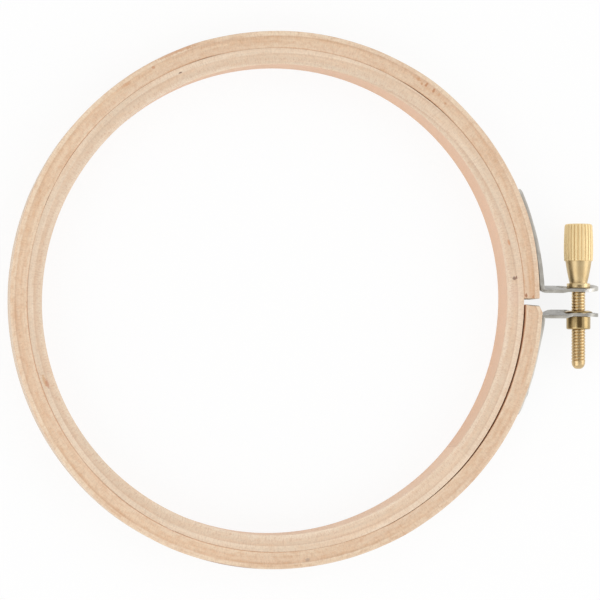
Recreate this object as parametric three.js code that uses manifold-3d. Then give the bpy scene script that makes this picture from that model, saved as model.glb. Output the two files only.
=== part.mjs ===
// A 4 inch screw-clamped embroidery hoop: two bent-wood rings, two sheet steel
// brackets tacked to the ends of the split outer ring, a turned brass thumb
// screw and the captive nut it runs in. Millimetres, +Z up, rings lying flat.
import * as THREE from 'three';
import { mergeVertices } from 'three/addons/utils/BufferGeometryUtils.js';
import Module from 'manifold-3d';

const wasm = await Module();
wasm.setup();

// The two rings
const hoopDiameter = 101.6; // outside of the inner ring, the size a hoop is sold by
const innerWall = 3.4;
const outerWall = 3.4;
const ringHeight = 8;
const easedEdge = 0.4; // radius along the edges of both rings
const ringClearance = 0.1; // between the rings, all the way round

// The ends of the outer ring, either side of the split
const splitGap = 1.15;
const endSpring = 0.3; // how far the lower end springs off the inner ring
const endSpringArc = 70; // degrees over which it leaves the inner ring
const endThinning = 0.35; // shaved from the outside of the upper end
const endThinningArc = 22; // degrees
const endCornerAlong = 1.4; // cut off the outer corner of the lower end
const endCornerIn = 0.7;

// The two brackets, each a strap on the wood and a lug that stands out from it
const bracketWidth = 7;
const sheetThickness = 0.65;
const strapLength = 20.3;
const strapCornerRadius = 1.2;
const bendRadius = 0.6; // inside the bend
const lugSetback = 1.95; // from the face of the ring's end to the middle of the sheet
const lugEndRadius = 3.3;
const lugPastScrew = 4.05;
const screwReach = 9.2; // from the outside of the wood to the axis of the screw

// The four tacks that hold the brackets
const tackHeadDiameter = 2.6;
const tackHeadHeight = 0.45;
const tackShankDiameter = 1.1;
const tackPoint = 0.8;
const woodBehindTack = 1; // left between the point's hole and the inner ring
const tackInset = 4.6; // from either end of the strap

// The thumb screw, turned from one bar
const gripLength = 7.65;
const gripDiameter = 6.05; // across the widest place
const gripTopDiameter = 5.7;
const gripEndDiameter = 5.9;
const gripWidestAt = 0.35; // share of the grip's length, from its lower end
const gripEdge = 0.5;
const fluteCount = 24;
const fluteDepth = 0.22;
const coneLength = 4.65;
const coneTopDiameter = 5.4;
const coneEndDiameter = 3.65;
const collarDiameter = 4.95;
const collarLength = 1;
const shankDiameter = 2.845; // over the thread
const shankLength = 16.8; // below the collar
const tipChamfer = 0.55;

// The captive nut, swaged into the lower lug
const nutDiameter = 5;
const nutLength = 2.6;
const nutEdge = 0.35;
const nutNeckDiameter = 4;
const nutFlangeDiameter = 5.85;
const nutFlangeHeight = 0.45;

// Clearances
const seatGap = 0.1; // between a piece and what it sits on
const threadClearance = 0.3; // round the shank, in the nut and in the upper lug
const tackClearance = 0.3; // round a tack and beyond its point
const cutMargin = 1; // how far a cutting shape runs past what it cuts

// Facets
const ringSteps = 120;
const cornerSteps = 2;
const strapSteps = 12;
const bendSteps = 4;
const roundSteps = 40;
const tackSteps = 16;
const gripSteps = 7;
const pointsPerFlute = 4;
const settlingRounds = 5; // for the angle where a strap bends into its lug

// Worked out from the sizes above
const innerOutside = hoopDiameter / 2;
const innerInside = innerOutside - innerWall;
const outerInside = innerOutside + ringClearance;
const outerOutside = outerInside + outerWall;
const lugMiddle = splitGap / 2 + lugSetback;
const lugFace = lugMiddle + sheetThickness / 2;
const screwX = outerOutside + screwReach;
const lugEnd = screwX + lugPastScrew;
const middleHeight = ringHeight / 2;
const strapAngle = strapLength / outerOutside;
const shankRadius = shankDiameter / 2;
const boreRadius = shankRadius + threadClearance;
const nutHoleRadius = nutNeckDiameter / 2 + seatGap;
const tackHoleRadius = tackShankDiameter / 2 + tackClearance;

const radians = THREE.MathUtils.degToRad;

// Turns a closed geometry into a solid that can be cut and joined
function solidFrom(geometry) {
  const bare = geometry.clone();
  bare.deleteAttribute('normal');
  bare.deleteAttribute('uv');
  const merged = mergeVertices(bare, 1e-5);
  const mesh = new wasm.Mesh({
    numProp: 3,
    vertProperties: new Float32Array(merged.attributes.position.array),
    triVerts: new Uint32Array(merged.index.array),
  });
  return new wasm.Manifold(mesh);
}

function geometryFrom(solid) {
  const mesh = solid.getMesh();
  const geometry = new THREE.BufferGeometry();
  geometry.setAttribute('position', new THREE.BufferAttribute(new Float32Array(mesh.vertProperties), 3));
  geometry.setIndex(new THREE.BufferAttribute(new Uint32Array(mesh.triVerts), 1));
  geometry.computeVertexNormals();
  return geometry;
}

function moveVertices(geometry, move) {
  const position = geometry.attributes.position;
  const point = new THREE.Vector3();
  for (let i = 0; i < position.count; i += 1) {
    point.fromBufferAttribute(position, i);
    move(point);
    position.setXYZ(i, point.x, point.y, point.z);
  }
  return geometry;
}

// Points of an arc about (x, y), both ends included, angles in degrees
function arcPoints(x, y, radius, from, to, steps) {
  const points = [];
  for (let i = 0; i <= steps; i += 1) {
    const angle = radians(from + ((to - from) * i) / steps);
    points.push(new THREE.Vector2(x + radius * Math.cos(angle), y + radius * Math.sin(angle)));
  }
  return points;
}

// A rectangle with rounded corners, counter-clockwise from its lower right corner
function easedRectangle(left, right, bottom, top, radius) {
  const r = Math.min(radius, (right - left) / 2.5, (top - bottom) / 2.5);
  return [
    ...arcPoints(right - r, bottom + r, r, -90, 0, cornerSteps),
    ...arcPoints(right - r, top - r, r, 0, 90, cornerSteps),
    ...arcPoints(left + r, top - r, r, 90, 180, cornerSteps),
    ...arcPoints(left + r, bottom + r, r, 180, 270, cornerSteps),
  ];
}

// A turned piece about +Z from a profile of (radius, height) points going up its outside
function turned(profile, steps) {
  return new THREE.LatheGeometry(profile, steps).rotateX(Math.PI / 2);
}

function drill(radius, from, to) {
  const profile = [
    new THREE.Vector2(0, from),
    new THREE.Vector2(radius, from),
    new THREE.Vector2(radius, to),
    new THREE.Vector2(0, to),
  ];
  return turned(profile, roundSteps);
}

// How far the ring stands off the inner ring at an angle from -180 to 180 degrees
function springAt(angle) {
  const share = THREE.MathUtils.clamp(1 + angle / endSpringArc, 0, 1);
  return angle < 0 ? endSpring * share * share : 0;
}

function thinningAt(angle) {
  const share = THREE.MathUtils.clamp(1 - angle / endThinningArc, 0, 1);
  return angle > 0 ? endThinning * THREE.MathUtils.smoothstep(share, 0, 1) : 0;
}

// The inner ring is a plain closed hoop
function makeInnerRing() {
  const profile = easedRectangle(innerInside, innerOutside, 0, ringHeight, easedEdge);
  profile.push(profile[0].clone());
  return geometryFrom(solidFrom(turned(profile, ringSteps)));
}

// The middle line of the outer ring's strip, from its upper end round to its lower end
class StripPath extends THREE.Curve {
  getPoint(share, target = new THREE.Vector3()) {
    const radius = (outerInside + outerOutside) / 2;
    const halfGap = Math.asin(splitGap / 2 / radius);
    const angle = halfGap + (2 * Math.PI - 2 * halfGap) * share;
    return target.set(radius * Math.cos(angle), radius * Math.sin(angle), middleHeight);
  }

  getPointAt(share, target) {
    return this.getPoint(share, target);
  }
}

// Seats a shape made about +Z on a radius of the ring, +Z pointing outward
function aimOutward(geometry, angle) {
  return geometry.rotateY(Math.PI / 2).rotateZ(angle).translate(0, 0, middleHeight);
}

// The two places of each bracket's tacks, as angles, on the side given by 1 or -1
function tackAngles(side) {
  const inset = tackInset / outerOutside;
  return [side * (bendAngle(side) + inset), side * (strapAngle + bendAngle(side) - inset)];
}

// Radius of the face of the strap that lies on the wood
function strapInside(angle) {
  return outerOutside + springAt(THREE.MathUtils.radToDeg(angle)) + seatGap;
}

// Where the strap ends and its bend into the lug starts. The strap's radius depends
// on that angle, so the two are settled in a few rounds.
function bendAngle(side) {
  const bend = bendRadius + sheetThickness / 2;
  let angle = 0;
  for (let round = 0; round < settlingRounds; round += 1) {
    const strap = strapInside(side * angle) + sheetThickness / 2;
    angle = Math.asin((lugMiddle + bend) / (strap + bend));
  }
  return angle;
}

function makeOuterRing() {
  const halfWall = outerWall / 2;
  const section = easedRectangle(-middleHeight, middleHeight, -halfWall, halfWall, easedEdge);
  const strip = new THREE.ExtrudeGeometry(new THREE.Shape(section), {
    steps: ringSteps,
    extrudePath: new StripPath(),
  });
  moveVertices(strip, (point) => {
    const radius = Math.hypot(point.x, point.y);
    const angle = THREE.MathUtils.radToDeg(Math.atan2(point.y, point.x));
    const depth = (radius - outerInside) / outerWall;
    const shifted = radius + springAt(angle) - depth * thinningAt(angle);
    point.x *= shifted / radius;
    point.y *= shifted / radius;
  });
  let ring = solidFrom(strip);

  // The outer corner of the lower end is cut off at a slant, by a wedge that stays
  // below the middle of the split
  const cornerX = outerOutside + endSpring;
  const slope = endCornerIn / endCornerAlong;
  const cutTop = splitGap / 2;
  const cutBottom = endCornerAlong + cutMargin;
  const cut = new THREE.Shape([
    new THREE.Vector2(cornerX - endCornerIn - slope * cutTop, 0),
    new THREE.Vector2(cornerX + slope * cutMargin, -cutTop - cutBottom),
    new THREE.Vector2(cornerX + (slope + 1) * cutMargin, 0),
  ]);
  const corner = new THREE.ExtrudeGeometry(cut, { depth: ringHeight + 2 * cutMargin, bevelEnabled: false });
  ring = ring.subtract(solidFrom(corner.translate(0, 0, -cutMargin)));

  // Blind holes for the tacks
  for (const side of [1, -1]) {
    for (const angle of tackAngles(side)) {
      const hole = drill(tackHoleRadius, outerInside + woodBehindTack, outerOutside + endSpring + cutMargin);
      ring = ring.subtract(solidFrom(aimOutward(hole, angle)));
    }
  }
  return geometryFrom(ring);
}

// The waste outside a rounded corner whose arc is centred on the origin
function cornerWaste(radius, depth) {
  const outside = radius + cutMargin;
  const points = [
    ...arcPoints(0, 0, radius, 90, 0, roundSteps / 4),
    new THREE.Vector2(outside, 0),
    new THREE.Vector2(outside, outside),
    new THREE.Vector2(0, outside),
  ];
  const waste = new THREE.ExtrudeGeometry(new THREE.Shape(points), { depth, bevelEnabled: false });
  return waste.translate(0, 0, -depth / 2);
}

// One bracket: side 1 is the upper one, -1 the lower one
function makeBracket(side, lugHoleRadius) {
  const half = sheetThickness / 2;
  const bend = bendRadius + half;
  const start = bendAngle(side);
  const line = [];
  for (let i = 0; i <= strapSteps; i += 1) {
    const angle = start + strapAngle * (1 - i / strapSteps);
    const radius = strapInside(side * angle) + half;
    const out = new THREE.Vector2(Math.cos(angle), Math.sin(angle));
    line.push({ point: out.clone().multiplyScalar(radius), normal: out });
  }
  const bendStart = line[line.length - 1];
  const centre = bendStart.point.clone().addScaledVector(bendStart.normal, bend);
  for (let i = 1; i <= bendSteps; i += 1) {
    const turn = start + ((Math.PI / 2 - start) * i) / bendSteps;
    const out = new THREE.Vector2(Math.cos(turn), Math.sin(turn));
    line.push({ point: centre.clone().addScaledVector(out, -bend), normal: out });
  }
  const lugLevel = line[line.length - 1].point.y;
  line.push({ point: new THREE.Vector2(lugEnd, lugLevel), normal: new THREE.Vector2(0, 1) });

  const upperEdge = line.map(({ point, normal }) => point.clone().addScaledVector(normal, half));
  const lowerEdge = line.map(({ point, normal }) => point.clone().addScaledVector(normal, -half));
  const profile = new THREE.Shape([...upperEdge, ...lowerEdge.reverse()]);
  const blank = new THREE.ExtrudeGeometry(profile, { depth: bracketWidth, bevelEnabled: false });
  let bracket = solidFrom(blank.translate(0, 0, middleHeight - bracketWidth / 2));

  // Rounded corners at the end of the lug and at the end of the strap
  const lugRound = Math.min(lugEndRadius, bracketWidth / 2);
  const strapRound = Math.min(strapCornerRadius, bracketWidth / 2);
  for (const upDown of [1, -1]) {
    const lugWaste = cornerWaste(lugRound, sheetThickness + 2 * cutMargin);
    lugWaste.rotateX((upDown * Math.PI) / 2);
    lugWaste.translate(lugEnd - lugRound, lugLevel, middleHeight + upDown * (bracketWidth / 2 - lugRound));
    bracket = bracket.subtract(solidFrom(lugWaste));

    const strapWaste = cornerWaste(strapRound, sheetThickness + 2 * cutMargin);
    strapWaste.rotateZ(upDown > 0 ? 0 : -Math.PI / 2);
    strapWaste.rotateY(Math.PI / 2).rotateX(Math.PI / 2);
    strapWaste.translate(0, -strapRound, upDown * (bracketWidth / 2 - strapRound));
    strapWaste.translate(line[0].point.length(), 0, middleHeight);
    strapWaste.rotateZ(start + strapAngle);
    bracket = bracket.subtract(solidFrom(strapWaste));
  }

  // The hole for the screw or the nut's neck, and the tack holes
  const screwHole = drill(lugHoleRadius, -sheetThickness - cutMargin, sheetThickness + cutMargin);
  screwHole.rotateX(Math.PI / 2).translate(screwX, lugLevel, middleHeight);
  bracket = bracket.subtract(solidFrom(screwHole));
  for (const angle of tackAngles(side)) {
    const hole = drill(tackHoleRadius, outerOutside - cutMargin, outerOutside + endSpring + 2 * cutMargin);
    bracket = bracket.subtract(solidFrom(aimOutward(hole, Math.abs(angle))));
  }
  return geometryFrom(side > 0 ? bracket : bracket.mirror([0, 1, 0]));
}

// A round-headed tack about +Z, with the underside of its head at zero
function makeTack(length) {
  const headRadius = tackHeadDiameter / 2;
  const shank = tackShankDiameter / 2;
  const dome = [];
  for (let i = 0; i < cornerSteps * 2; i += 1) {
    const angle = (i / (cornerSteps * 2)) * (Math.PI / 2);
    dome.push(new THREE.Vector2(headRadius * Math.cos(angle), tackHeadHeight * Math.sin(angle)));
  }
  const point = Math.min(tackPoint, length / 2);
  const profile = [
    new THREE.Vector2(0, -length),
    new THREE.Vector2(shank, point - length),
    new THREE.Vector2(shank, 0),
    ...dome,
    new THREE.Vector2(0, tackHeadHeight),
  ];
  return geometryFrom(solidFrom(turned(profile, tackSteps)));
}

// The fluted grip, drawn as one outline, extruded and then swelled to its barrel shape
function makeGrip() {
  const outline = [];
  const pointCount = fluteCount * pointsPerFlute;
  for (let i = 0; i < pointCount; i += 1) {
    const angle = (i / pointCount) * 2 * Math.PI;
    const groove = Math.max(0, Math.cos(fluteCount * angle));
    const radius = gripDiameter / 2 - fluteDepth * groove;
    outline.push(new THREE.Vector2(radius * Math.cos(angle), radius * Math.sin(angle)));
  }
  const grip = new THREE.ExtrudeGeometry(new THREE.Shape(outline), {
    depth: 1,
    steps: gripSteps,
    bevelEnabled: false,
  });
  const edge = Math.min(gripEdge, gripLength / 3);
  const edgeStart = 1 - 2 / gripSteps;
  return moveVertices(grip, (point) => {
    // The last two steps round the top edge over, the others share the rest of the length
    const barrelShare = Math.min(point.z / edgeStart, 1);
    const edgeTurn = (Math.max(point.z - edgeStart, 0) / (1 - edgeStart)) * (Math.PI / 2);
    const height = barrelShare * (gripLength - edge) + edge * Math.sin(edgeTurn);
    const share = height / gripLength;
    const rise = share < gripWidestAt ? 1 - share / gripWidestAt : (share - gripWidestAt) / (1 - gripWidestAt);
    const far = share < gripWidestAt ? gripEndDiameter : gripTopDiameter;
    const across = THREE.MathUtils.lerp(gripDiameter, far, rise * rise) / 2 - edge * (1 - Math.cos(edgeTurn));
    point.x *= across / (gripDiameter / 2);
    point.y *= across / (gripDiameter / 2);
    point.z = height;
  });
}

// The thumb screw about +Z, with the underside of its collar at zero
function makeThumbScrew() {
  const coneStart = collarLength;
  const gripStart = coneStart + coneLength;
  const rooted = gripLength / 4;
  const profile = [
    new THREE.Vector2(0, -shankLength),
    new THREE.Vector2(shankRadius - tipChamfer, -shankLength),
    new THREE.Vector2(shankRadius, tipChamfer - shankLength),
    new THREE.Vector2(shankRadius, 0),
    new THREE.Vector2(collarDiameter / 2, 0),
    new THREE.Vector2(collarDiameter / 2, collarLength),
    new THREE.Vector2(coneEndDiameter / 2, coneStart),
    new THREE.Vector2(coneTopDiameter / 2, gripStart),
    new THREE.Vector2(coneTopDiameter / 2, gripStart + rooted),
    new THREE.Vector2(0, gripStart + rooted),
  ];
  const body = solidFrom(turned(profile, roundSteps));
  return geometryFrom(body.add(solidFrom(makeGrip().translate(0, 0, gripStart))));
}

// The captive nut about +Z, with the middle of the lug it is swaged to at zero
function makeClampNut() {
  const grip = sheetThickness / 2 + seatGap;
  const bottom = -grip - nutLength;
  const outside = nutDiameter / 2;
  const neck = nutNeckDiameter / 2;
  const flange = nutFlangeDiameter / 2;
  const profile = [
    new THREE.Vector2(boreRadius, bottom),
    ...arcPoints(outside - nutEdge, bottom + nutEdge, nutEdge, -90, 0, cornerSteps * 2),
    new THREE.Vector2(outside, -grip),
    new THREE.Vector2(neck, -grip),
    new THREE.Vector2(neck, grip),
    new THREE.Vector2(flange, grip),
    new THREE.Vector2(flange, grip + nutFlangeHeight / 3),
    new THREE.Vector2(neck, grip + nutFlangeHeight),
    new THREE.Vector2(boreRadius, grip + nutFlangeHeight),
    new THREE.Vector2(boreRadius, bottom),
  ];
  return geometryFrom(solidFrom(turned(profile, roundSteps)));
}

const beech = { color: 0xe0c4a4, roughness: 0.62, metalness: 0 };
const paleBeech = { color: 0xe6ceb2, roughness: 0.62, metalness: 0 };
const nickelledSteel = { color: 0xb9b6b0, roughness: 0.34, metalness: 1 };
const brass = { color: 0xd2a85f, roughness: 0.28, metalness: 1 };

function addPiece(parent, name, geometry, finish) {
  const mesh = new THREE.Mesh(geometry, new THREE.MeshStandardMaterial(finish));
  mesh.name = name;
  parent.add(mesh);
  return mesh;
}

// The hoop is built round the middle of its rings, then moved so that the origin
// is under the middle of the whole object
const hoop = new THREE.Group();
hoop.position.x = (outerOutside - lugEnd) / 2;

addPiece(hoop, 'inner_ring', makeInnerRing(), paleBeech);
addPiece(hoop, 'outer_ring', makeOuterRing(), beech);
addPiece(hoop, 'upper_bracket', makeBracket(1, boreRadius), nickelledSteel);
addPiece(hoop, 'lower_bracket', makeBracket(-1, nutHoleRadius), nickelledSteel);

for (const [sideName, side] of [['upper', 1], ['lower', -1]]) {
  tackAngles(side).forEach((angle, i) => {
    const underHead = strapInside(angle) + sheetThickness + seatGap;
    const length = underHead - (outerInside + woodBehindTack + tackClearance);
    const spoke = new THREE.Group();
    spoke.rotation.z = angle;
    const tack = addPiece(spoke, `${sideName}_tack_${i + 1}`, makeTack(length), nickelledSteel);
    tack.rotation.y = Math.PI / 2;
    tack.position.set(underHead, 0, middleHeight);
    hoop.add(spoke);
  });
}

// The screw and the nut share an axis that stands along +Y through both lugs
const screwLine = new THREE.Group();
screwLine.position.set(screwX, 0, middleHeight);
screwLine.rotation.x = -Math.PI / 2;
addPiece(screwLine, 'thumb_screw', makeThumbScrew(), brass).position.z = lugFace + seatGap;
addPiece(screwLine, 'clamp_nut', makeClampNut(), brass).position.z = -lugMiddle;
hoop.add(screwLine);

export default hoop;
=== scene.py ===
import math

import bmesh
import bpy
from mathutils import Matrix, Vector, noise
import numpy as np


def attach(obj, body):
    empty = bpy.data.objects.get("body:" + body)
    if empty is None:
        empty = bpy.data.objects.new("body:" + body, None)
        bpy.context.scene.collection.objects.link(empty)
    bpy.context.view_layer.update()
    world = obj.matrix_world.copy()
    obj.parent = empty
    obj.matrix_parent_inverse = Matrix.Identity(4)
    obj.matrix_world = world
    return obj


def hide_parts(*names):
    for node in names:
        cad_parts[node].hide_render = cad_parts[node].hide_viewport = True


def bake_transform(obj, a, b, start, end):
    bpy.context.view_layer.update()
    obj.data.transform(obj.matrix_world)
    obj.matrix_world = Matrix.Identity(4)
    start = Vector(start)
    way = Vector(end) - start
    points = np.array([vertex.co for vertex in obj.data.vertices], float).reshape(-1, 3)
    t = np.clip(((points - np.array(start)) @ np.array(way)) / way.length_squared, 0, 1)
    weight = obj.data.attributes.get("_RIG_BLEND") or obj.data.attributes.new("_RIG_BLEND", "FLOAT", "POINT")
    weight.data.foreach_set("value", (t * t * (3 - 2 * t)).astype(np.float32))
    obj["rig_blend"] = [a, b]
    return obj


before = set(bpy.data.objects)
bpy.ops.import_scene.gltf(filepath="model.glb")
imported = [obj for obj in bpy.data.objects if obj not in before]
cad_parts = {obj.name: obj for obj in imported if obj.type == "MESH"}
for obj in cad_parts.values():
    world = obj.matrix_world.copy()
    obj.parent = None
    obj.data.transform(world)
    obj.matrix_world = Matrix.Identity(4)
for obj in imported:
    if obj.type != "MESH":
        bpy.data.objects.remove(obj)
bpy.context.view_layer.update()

mm = 0.001
white = (1.0, 1.0, 1.0, 1.0)

# Sizes that several pieces share, in mm. The rings have one axis, which stands at
# axisX in the part, and all lengths below are measured from it.
hoop = {
    "axisX": -6.625,
    "top": 8.0,
    "middle": 4.0,
    "innerFace": 47.4,
    "innerMean": 49.1,
    "innerBack": 50.8,
    "outerMean": 52.6,
    "outerWall": 3.4,
    "splitHalf": 0.575,
    "screwX": 63.5,
    "lugLevel": 2.525,
    "sheet": 0.65,
}


def place(x, y, z):
    return Vector(((x + hoop["axisX"]) * mm, y * mm, z * mm))


def clampShare(share):
    return min(max(share, 0.0), 1.0)


def smoothShare(share):
    share = clampShare(share)
    return share * share * (3 - 2 * share)


def mixed(low, high, share):
    return low + (high - low) * share


# A step of 1 in the plane, so many degrees round from +X
def heading(degrees):
    turned = math.radians(degrees)
    return Vector((math.cos(turned), math.sin(turned)))


# A colour as a paint program gives it, 0 to 255, turned into what the shaders want
def tint(red, green, blue):
    shares = [value / 255 for value in (red, green, blue)]
    linear = [s / 12.92 if s <= 0.04045 else ((s + 0.055) / 1.055) ** 2.4 for s in shares]
    return (*linear, 1.0)


def addObject(name, data):
    added = bpy.data.objects.new(name, data)
    bpy.context.scene.collection.objects.link(added)
    return added


# The camera stands where the photo was taken
photoView = {
    "towardsLeft": 9.2,  # degrees from straight above the rings
    "towardsNear": 1.75,
    "roll": 0.25,
    "distance": 540.0,  # from the middle of the rings' upper faces
    "aim": (5.754, 0.117, 0.0),
    "lens": 160.84,
    "sensor": 36.0,
}

cameraData = bpy.data.cameras.new("photoCamera")
cameraData.lens = photoView["lens"]
cameraData.sensor_width = photoView["sensor"]
cameraData.clip_start, cameraData.clip_end = 0.01, 20.0
camera = addObject("photoCamera", cameraData)
bpy.context.scene.camera = camera

fromRings = Vector((
    -math.tan(math.radians(photoView["towardsLeft"])),
    -math.tan(math.radians(photoView["towardsNear"])),
    1.0,
)).normalized()
eye = Vector((0.0, 0.0, hoop["top"])) + fromRings * photoView["distance"]
forward = (Vector(photoView["aim"]) - eye).normalized()
levelRight = forward.cross(Vector((0.0, 1.0, 0.0))).normalized()
levelUp = levelRight.cross(forward)
roll = math.radians(photoView["roll"])
right = levelRight * math.cos(roll) + levelUp * math.sin(roll)
up = levelUp * math.cos(roll) - levelRight * math.sin(roll)
cameraAxes = Matrix((right, up, -forward)).transposed().to_4x4()
camera.matrix_world = Matrix.Translation(place(*eye)) @ cameraAxes
print("camera set")


# Nodes are laid out in rows, in the order in which they are made
def newNode(tree, kind, inputs=None, **settings):
    row, column = divmod(len(tree.nodes), 12)
    node = tree.nodes.new(kind if kind.startswith("NodeGroup") else "ShaderNode" + kind)
    node.location = (column * 190, row * -320)
    for name, value in settings.items():
        setattr(node, name, value)
    for name, value in (inputs or {}).items():
        if isinstance(value, bpy.types.NodeSocket):
            tree.links.new(value, node.inputs[name])
        else:
            node.inputs[name].default_value = value
    return node


# A node in the tree of the sockets that feed it, and what comes out of it
def fed(kind, inputs, output=0, **settings):
    tree = next(value.id_data for value in inputs.values() if isinstance(value, bpy.types.NodeSocket))
    return newNode(tree, kind, inputs, **settings).outputs[output]


def maths(operation, *values, clamp=False):
    return fed("Math", dict(enumerate(values)), operation=operation, use_clamp=clamp)


def times(first, second):
    return maths("MULTIPLY", first, second)


def minus(first, second):
    return maths("SUBTRACT", first, second)


def vectorMaths(operation, inputs, output="Vector"):
    return fed("VectorMath", inputs, output, operation=operation)


def mapRange(value, fromLow, fromHigh, toLow=0.0, toHigh=1.0, smooth=False):
    kind = "SMOOTHSTEP" if smooth else "LINEAR"
    inputs = {0: value, 1: fromLow, 2: fromHigh, 3: toLow, 4: toHigh}
    return fed("MapRange", inputs, interpolation_type=kind)


def mixColors(share, first, second):
    return fed("Mix", {0: share, 6: first, 7: second}, 2, data_type="RGBA")


def mixShaders(share, first, second):
    return fed("MixShader", {0: share, 1: first, 2: second})


def attribute(tree, name, output="Fac"):
    return newNode(tree, "Attribute", attribute_name=name).outputs[output]


def axesOf(vector):
    return newNode(vector.id_data, "SeparateXYZ", {0: vector}).outputs


# Noise that is stretched by its scales and moved by its seed
def stretchedNoise(point, scales, detail=1.0, seed=(0.0, 0.0, 0.0)):
    where = vectorMaths("MULTIPLY_ADD", {0: point, 1: scales, 2: seed})
    return fed("TexNoise", {"Vector": where, "Scale": 1.0, "Detail": detail})


# A ramp of greys from places and levels, of which the first is at 0 and the last at 1
def greyRamp(value, levels):
    ramp = newNode(value.id_data, "ValToRGB", {0: value})
    stops = ramp.color_ramp.elements
    stops[0].color = (*[levels[0][1]] * 3, 1.0)
    stops[1].color = (*[levels[-1][1]] * 3, 1.0)
    for position, level in levels[1:-1]:
        stops.new(position).color = (level, level, level, 1.0)
    return ramp.outputs[0]


def addSockets(tree, direction, colors, values):
    for label in [*colors, *values]:
        kind = "NodeSocketColor" if label in colors else "NodeSocketFloat"
        tree.interface.new_socket(name=label, in_out=direction, socket_type=kind)


# A group whose colours and values are all given by the materials, or else are 0
def newGroup(name, colors, values):
    tree = bpy.data.node_groups.new(name, "ShaderNodeTree")
    addSockets(tree, "INPUT", colors, values)
    return tree, newNode(tree, "NodeGroupInput").outputs


def closeGroup(tree, color, **values):
    addSockets(tree, "OUTPUT", ["Color"], values)
    newNode(tree, "NodeGroupOutput", {"Color": color, **values})


def useGroup(tree, group, inputs):
    return newNode(tree, "Group", inputs, node_tree=group).outputs


def newMaterial(name):
    material = bpy.data.materials.new(name)
    material.use_nodes = True
    material.node_tree.nodes.clear()
    return material, material.node_tree


def finishMaterial(tree, finish, bumpStrength, bumpDepth, inputs):
    bump = {"Height": finish["Height"], "Strength": bumpStrength, "Distance": bumpDepth}
    inputs = {"Roughness": finish["Roughness"], "Normal": fed("Bump", bump), **inputs}
    newNode(tree, "OutputMaterial", {"Surface": fed("BsdfPrincipled", inputs)})


stage = {
    "floorSize": 6.0,
    "floorDrop": 0.00005,
    "shadowShare": 0.13,  # how much of the floor's own shading the camera sees
    "skyLevel": 0.885,
    "overheadColor": (0.21, 0.182, 0.145, 1.0),
    "overheadAcross": 0.40,  # half sizes of the dark patch, as sines of its angles
    "overheadAlong": 0.21,
    "overheadAt": -0.07,
    "overheadEdge": (0.8, 1.25),  # where it fades out, as shares of its half sizes
}

# The floor is white paper to the camera and in reflections, and keeps a soft shadow
paper, tree = newMaterial("studioPaper")
rays = newNode(tree, "LightPath").outputs
seen = maths("ADD", rays["Is Camera Ray"], rays["Is Glossy Ray"])
seen = maths("ADD", seen, rays["Is Transmission Ray"], clamp=True)
shaded = newNode(tree, "BsdfDiffuse", {"Color": white}).outputs[0]
glow = newNode(tree, "Emission", {"Color": white}).outputs[0]
bright = mixShaders(stage["shadowShare"], glow, shaded)
chosen = mixShaders(seen, shaded, bright)
newNode(tree, "OutputMaterial", {"Surface": chosen})

far, drop = stage["floorSize"] / 2, stage["floorDrop"]
corners = [(x * far, y * far, -drop) for x, y in ((-1, -1), (1, -1), (1, 1), (-1, 1))]
floorMesh = bpy.data.meshes.new("floor")
floorMesh.from_pydata(corners, [], [(0, 1, 2, 3)])
floorMesh.materials.append(paper)
floor = addObject("floor", floorMesh)

# The room: an even pale sky, darker straight above, where a photographer would stand
world = bpy.data.worlds.new("studioRoom")
bpy.context.scene.world = world
world.use_nodes = True
tree = world.node_tree
tree.nodes.clear()
view = axesOf(newNode(tree, "TexCoord").outputs["Generated"])
across = minus(view[0], stage["overheadAt"])
reach = fed("CombineXYZ", {
    0: maths("DIVIDE", across, stage["overheadAcross"]),
    1: maths("DIVIDE", view[1], stage["overheadAlong"]),
    2: times(maths("LESS_THAN", view[2], 0.0), 4.0),  # none below
})
reach = vectorMaths("LENGTH", {0: reach}, "Value")
clearOfPatch = mapRange(reach, *stage["overheadEdge"], smooth=True)
sky = mixColors(clearOfPatch, stage["overheadColor"], (*[stage["skyLevel"]] * 3, 1.0))
room = fed("Background", {"Color": sky})
behind = newNode(tree, "Background", {"Color": white}).outputs[0]
rays = newNode(tree, "LightPath").outputs
chosen = mixShaders(rays["Is Camera Ray"], room, behind)
newNode(tree, "OutputWorld", {"Surface": chosen})

softBoxes = {
    "keyLight": {"at": (-0.72, -0.44, 0.56), "wide": 0.6, "high": 0.9, "power": 1.65},
    "fillLight": {"at": (0.84, -0.04, 0.40), "wide": 0.85, "high": 0.62, "power": 1.6},
}
for name, box in softBoxes.items():
    lampData = bpy.data.lights.new(name, "AREA")
    lampData.shape = "RECTANGLE"
    lampData.size = box["wide"]
    lampData.size_y = box["high"]
    lampData.energy = box["power"]
    lamp = addObject(name, lampData)
    lamp.location = box["at"]
    lamp.rotation_euler = (-Vector(box["at"])).to_track_quat("-Z", "Y").to_euler()

bpy.context.scene.view_settings.view_transform = "Standard"
print("floor, room and lights set")


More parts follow.
